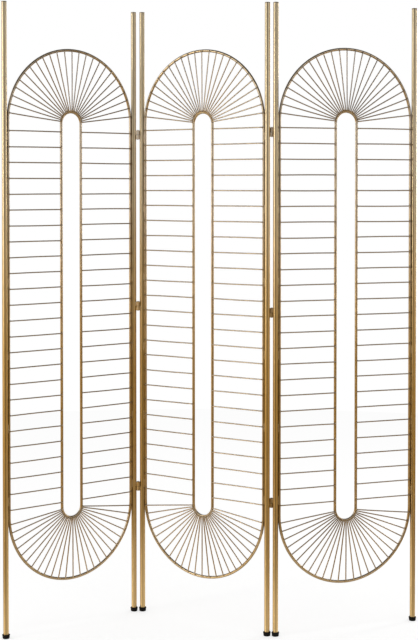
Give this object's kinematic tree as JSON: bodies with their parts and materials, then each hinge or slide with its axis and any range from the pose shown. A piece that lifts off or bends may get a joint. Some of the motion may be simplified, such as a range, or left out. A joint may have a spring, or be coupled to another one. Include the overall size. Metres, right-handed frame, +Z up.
{
  "type": "folding room divider",
  "caption": "Free-standing folding screen of gold metal panels, each with stadium-shaped rings filled by wire rungs and fans, joined by barrel hinges on rubber feet.",
  "frame": {"origin": "on the floor, under the middle of the box round the screen in its half-open rest pose", "axes": "+Z up along the posts, +X to the right along the row of panels, +Y to the back, away from the side that carries the wires"},
  "size_m": [1.1968, 0.284, 1.8],
  "materials": {
    "post_gold": "satin gold coating on steel tube",
    "cap_gold": "satin gold coating on a pressed plug",
    "ring_gold": "satin gold coating on steel rod",
    "wire_gold": "satin gold coating on drawn wire",
    "hinge_gold": "satin gold coating on turned steel",
    "foot_rubber": "matt moulded rubber",
    "insert_nylon": "moulded nylon",
    "fixing_steel": "zinc-plated steel"
  },
  "bodies": {
    "middle_panel": {"left_fold_bottom_lower_knuckle": "hinge_gold", "left_fold_middle_lower_knuckle": "hinge_gold", "left_fold_pins": "hinge_gold", "left_fold_top_lower_knuckle": "hinge_gold", "left_fold_washers": "fixing_steel", "middle_panel_bottom_fan": "wire_gold", "middle_panel_caps": "cap_gold", "middle_panel_feet": "foot_rubber", "middle_panel_foot_inserts": "insert_nylon", "middle_panel_foot_screws": "fixing_steel", "middle_panel_inner_ring": "ring_gold", "middle_panel_left_post": "post_gold", "middle_panel_left_rungs": "wire_gold", "middle_panel_outer_ring": "ring_gold", "middle_panel_right_post": "post_gold", "middle_panel_right_rungs": "wire_gold", "middle_panel_top_fan": "wire_gold", "right_fold_bottom_lower_knuckle": "hinge_gold", "right_fold_middle_lower_knuckle": "hinge_gold", "right_fold_pins": "hinge_gold", "right_fold_top_lower_knuckle": "hinge_gold", "right_fold_washers": "fixing_steel"},
    "left_panel": {"left_fold_bottom_upper_knuckle": "hinge_gold", "left_fold_middle_upper_knuckle": "hinge_gold", "left_fold_top_upper_knuckle": "hinge_gold", "left_panel_bottom_fan": "wire_gold", "left_panel_caps": "cap_gold", "left_panel_feet": "foot_rubber", "left_panel_foot_inserts": "insert_nylon", "left_panel_foot_screws": "fixing_steel", "left_panel_inner_ring": "ring_gold", "left_panel_left_post": "post_gold", "left_panel_left_rungs": "wire_gold", "left_panel_outer_ring": "ring_gold", "left_panel_right_post": "post_gold", "left_panel_right_rungs": "wire_gold", "left_panel_top_fan": "wire_gold"},
    "right_panel": {"right_fold_bottom_upper_knuckle": "hinge_gold", "right_fold_middle_upper_knuckle": "hinge_gold", "right_fold_top_upper_knuckle": "hinge_gold", "right_panel_bottom_fan": "wire_gold", "right_panel_caps": "cap_gold", "right_panel_feet": "foot_rubber", "right_panel_foot_inserts": "insert_nylon", "right_panel_foot_screws": "fixing_steel", "right_panel_inner_ring": "ring_gold", "right_panel_left_post": "post_gold", "right_panel_left_rungs": "wire_gold", "right_panel_outer_ring": "ring_gold", "right_panel_right_post": "post_gold", "right_panel_right_rungs": "wire_gold", "right_panel_top_fan": "wire_gold"}
  },
  "joints": [
    {"name": "left_fold", "type": "hinge", "parent": "middle_panel", "child": "left_panel", "pos_m": [-0.22532, 0.12591, 0.92125], "axis": [0, 0, 1], "range_deg": [-32, 110]},
    {"name": "right_fold", "type": "hinge", "parent": "middle_panel", "child": "right_panel", "pos_m": [0.16531, -0.102, 0.92125], "axis": [0, 0, 1], "range_deg": [-14, 127]}
  ]
}
